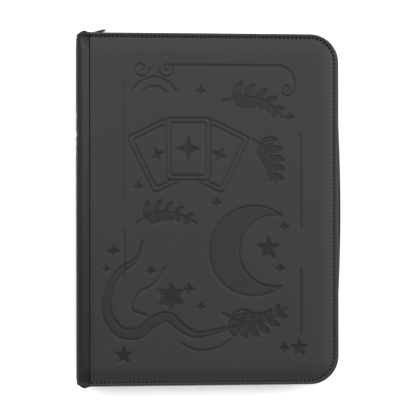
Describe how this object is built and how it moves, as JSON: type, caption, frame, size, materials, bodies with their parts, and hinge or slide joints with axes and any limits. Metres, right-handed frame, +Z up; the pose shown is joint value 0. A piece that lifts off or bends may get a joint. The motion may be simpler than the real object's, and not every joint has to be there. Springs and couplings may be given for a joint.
{
  "type": "trading card binder",
  "caption": "Zip-around binder with padded leather covers and hinged pocket leaves that open flat from a rounded spine, for storing flat collecting cards.",
  "frame": {"origin": "middle of the flat outer face of the back cover's footprint, which the binder lies on", "axes": "+X from the spine to the fore-edge, +Y along the spine to the head where the closed zipper's slider is, +Z up through the covers to the front cover"},
  "size_m": [0.269, 0.3586, 0.04],
  "materials": {
    "cover_leather": "smooth black imitation leather, fine grain, satin",
    "spine_leather": "smooth black imitation leather, fine grain, satin",
    "foam": "closed-cell padding foam",
    "board": "grey binder's board",
    "lining": "matt black woven lining",
    "zipper_tape": "black herringbone zipper tape",
    "zipper_teeth": "black moulded coil",
    "hardware": "black painted zinc, satin",
    "leaf": "black polypropylene core with clear pocket film",
    "binding": "black woven binding tape"
  },
  "bodies": {
    "back_cover": {"back_cover_leather": "cover_leather", "back_cover_foam": "foam", "back_cover_board": "board", "back_cover_lining": "lining", "spine_flap_back": "spine_leather", "zipper_tape_back": "zipper_tape", "zipper_teeth_back": "zipper_teeth", "zipper_top_stop_back": "hardware", "zipper_bottom_stop": "hardware"},
    "spine": {"spine_leather": "spine_leather", "spine_board": "board", "spine_lining": "lining", "page_gusset": "binding", "spine_end_tab_top": "spine_leather", "spine_end_tab_bottom": "spine_leather"},
    "front_cover": {"front_cover_leather": "cover_leather", "front_cover_foam": "foam", "front_cover_board": "board", "front_cover_lining": "lining", "spine_flap_front": "spine_leather", "zipper_tape_front": "zipper_tape", "zipper_teeth_front": "zipper_teeth", "zipper_top_stop_front": "hardware"},
    "slider": {"zipper_slider_body": "hardware", "zipper_slider_bail": "hardware"},
    "pull": {"zipper_pull_tab": "hardware"},
    "leaf_01": {"leaf_01": "leaf", "binding_tape_back": "binding"},
    "leaf_02": {"leaf_02": "leaf"},
    "leaf_03": {"leaf_03": "leaf"},
    "leaf_04": {"leaf_04": "leaf"},
    "leaf_05": {"leaf_05": "leaf"},
    "leaf_06": {"leaf_06": "leaf"},
    "leaf_07": {"leaf_07": "leaf"},
    "leaf_08": {"leaf_08": "leaf"},
    "leaf_09": {"leaf_09": "leaf"},
    "leaf_10": {"leaf_10": "leaf"},
    "leaf_11": {"leaf_11": "leaf"},
    "leaf_12": {"leaf_12": "leaf"},
    "leaf_13": {"leaf_13": "leaf"},
    "leaf_14": {"leaf_14": "leaf"},
    "leaf_15": {"leaf_15": "leaf"},
    "leaf_16": {"leaf_16": "leaf"},
    "leaf_17": {"leaf_17": "leaf"},
    "leaf_18": {"leaf_18": "leaf"},
    "leaf_19": {"leaf_19": "leaf"},
    "leaf_20": {"leaf_20": "leaf", "binding_tape_front": "binding"}
  },
  "joints": [
    {"name": "spine_fold", "type": "hinge", "parent": "back_cover", "child": "spine", "pos_m": [-0.133, 0, 0.004], "axis": [0, -1, 0], "range_deg": [0, 90]},
    {"name": "front_cover_fold", "type": "hinge", "parent": "spine", "child": "front_cover", "pos_m": [-0.133, 0, 0.036], "axis": [0, -1, 0], "range_deg": [0, 90]},
    {"name": "slider_travel", "type": "slide", "parent": "back_cover", "child": "slider", "axis": [1, 0, 0], "range_m": [0, 0.213]},
    {"name": "pull_swing", "type": "hinge", "parent": "slider", "child": "pull", "pos_m": [-0.1213, 0.178, 0.02], "axis": [0, 0, 1], "range_deg": [-13, 151]},
    {"name": "leaf_01_turn", "type": "hinge", "parent": "spine", "child": "leaf_01", "pos_m": [-0.1169, 0, 0.02], "axis": [0, -1, 0], "range_deg": [-90, 0]},
    {"name": "leaf_02_turn", "type": "hinge", "parent": "spine", "child": "leaf_02", "pos_m": [-0.1169, 0, 0.02], "axis": [0, -1, 0], "range_deg": [-90, 0]},
    {"name": "leaf_03_turn", "type": "hinge", "parent": "spine", "child": "leaf_03", "pos_m": [-0.1169, 0, 0.02], "axis": [0, -1, 0], "range_deg": [-90, 0]},
    {"name": "leaf_04_turn", "type": "hinge", "parent": "spine", "child": "leaf_04", "pos_m": [-0.1169, 0, 0.02], "axis": [0, -1, 0], "range_deg": [-90, 0]},
    {"name": "leaf_05_turn", "type": "hinge", "parent": "spine", "child": "leaf_05", "pos_m": [-0.1169, 0, 0.02], "axis": [0, -1, 0], "range_deg": [-90, 0]},
    {"name": "leaf_06_turn", "type": "hinge", "parent": "spine", "child": "leaf_06", "pos_m": [-0.1169, 0, 0.02], "axis": [0, -1, 0], "range_deg": [-90, 0]},
    {"name": "leaf_07_turn", "type": "hinge", "parent": "spine", "child": "leaf_07", "pos_m": [-0.1169, 0, 0.02], "axis": [0, -1, 0], "range_deg": [-90, 0]},
    {"name": "leaf_08_turn", "type": "hinge", "parent": "spine", "child": "leaf_08", "pos_m": [-0.1169, 0, 0.02], "axis": [0, -1, 0], "range_deg": [-90, 0]},
    {"name": "leaf_09_turn", "type": "hinge", "parent": "spine", "child": "leaf_09", "pos_m": [-0.1169, 0, 0.02], "axis": [0, -1, 0], "range_deg": [-90, 0]},
    {"name": "leaf_10_turn", "type": "hinge", "parent": "spine", "child": "leaf_10", "pos_m": [-0.1169, 0, 0.02], "axis": [0, -1, 0], "range_deg": [-90, 0]},
    {"name": "leaf_11_turn", "type": "hinge", "parent": "spine", "child": "leaf_11", "pos_m": [-0.1169, 0, 0.02], "axis": [0, -1, 0], "range_deg": [0, 90]},
    {"name": "leaf_12_turn", "type": "hinge", "parent": "spine", "child": "leaf_12", "pos_m": [-0.1169, 0, 0.02], "axis": [0, -1, 0], "range_deg": [0, 90]},
    {"name": "leaf_13_turn", "type": "hinge", "parent": "spine", "child": "leaf_13", "pos_m": [-0.1169, 0, 0.02], "axis": [0, -1, 0], "range_deg": [0, 90]},
    {"name": "leaf_14_turn", "type": "hinge", "parent": "spine", "child": "leaf_14", "pos_m": [-0.1169, 0, 0.02], "axis": [0, -1, 0], "range_deg": [0, 90]},
    {"name": "leaf_15_turn", "type": "hinge", "parent": "spine", "child": "leaf_15", "pos_m": [-0.1169, 0, 0.02], "axis": [0, -1, 0], "range_deg": [0, 90]},
    {"name": "leaf_16_turn", "type": "hinge", "parent": "spine", "child": "leaf_16", "pos_m": [-0.1169, 0, 0.02], "axis": [0, -1, 0], "range_deg": [0, 90]},
    {"name": "leaf_17_turn", "type": "hinge", "parent": "spine", "child": "leaf_17", "pos_m": [-0.1169, 0, 0.02], "axis": [0, -1, 0], "range_deg": [0, 90]},
    {"name": "leaf_18_turn", "type": "hinge", "parent": "spine", "child": "leaf_18", "pos_m": [-0.1169, 0, 0.02], "axis": [0, -1, 0], "range_deg": [0, 90]},
    {"name": "leaf_19_turn", "type": "hinge", "parent": "spine", "child": "leaf_19", "pos_m": [-0.1169, 0, 0.02], "axis": [0, -1, 0], "range_deg": [0, 90]},
    {"name": "leaf_20_turn", "type": "hinge", "parent": "spine", "child": "leaf_20", "pos_m": [-0.1169, 0, 0.02], "axis": [0, -1, 0], "range_deg": [0, 90]}
  ],
  "couplings": [
    {"joint": "spine_fold", "follows": "front_cover_fold", "ratio": 1},
    {"joint": "leaf_01_turn", "follows": "front_cover_fold", "ratio": -1},
    {"joint": "leaf_02_turn", "follows": "front_cover_fold", "ratio": -0.997},
    {"joint": "leaf_03_turn", "follows": "front_cover_fold", "ratio": -0.994},
    {"joint": "leaf_04_turn", "follows": "front_cover_fold", "ratio": -0.991},
    {"joint": "leaf_05_turn", "follows": "front_cover_fold", "ratio": -0.988},
    {"joint": "leaf_06_turn", "follows": "front_cover_fold", "ratio": -0.985},
    {"joint": "leaf_07_turn", "follows": "front_cover_fold", "ratio": -0.982},
    {"joint": "leaf_08_turn", "follows": "front_cover_fold", "ratio": -0.979},
    {"joint": "leaf_09_turn", "follows": "front_cover_fold", "ratio": -0.976},
    {"joint": "leaf_10_turn", "follows": "front_cover_fold", "ratio": -0.973},
    {"joint": "leaf_11_turn", "follows": "front_cover_fold", "ratio": 0.973},
    {"joint": "leaf_12_turn", "follows": "front_cover_fold", "ratio": 0.976},
    {"joint": "leaf_13_turn", "follows": "front_cover_fold", "ratio": 0.979},
    {"joint": "leaf_14_turn", "follows": "front_cover_fold", "ratio": 0.982},
    {"joint": "leaf_15_turn", "follows": "front_cover_fold", "ratio": 0.985},
    {"joint": "leaf_16_turn", "follows": "front_cover_fold", "ratio": 0.988},
    {"joint": "leaf_17_turn", "follows": "front_cover_fold", "ratio": 0.991},
    {"joint": "leaf_18_turn", "follows": "front_cover_fold", "ratio": 0.994},
    {"joint": "leaf_19_turn", "follows": "front_cover_fold", "ratio": 0.997},
    {"joint": "leaf_20_turn", "follows": "front_cover_fold", "ratio": 1}
  ]
}
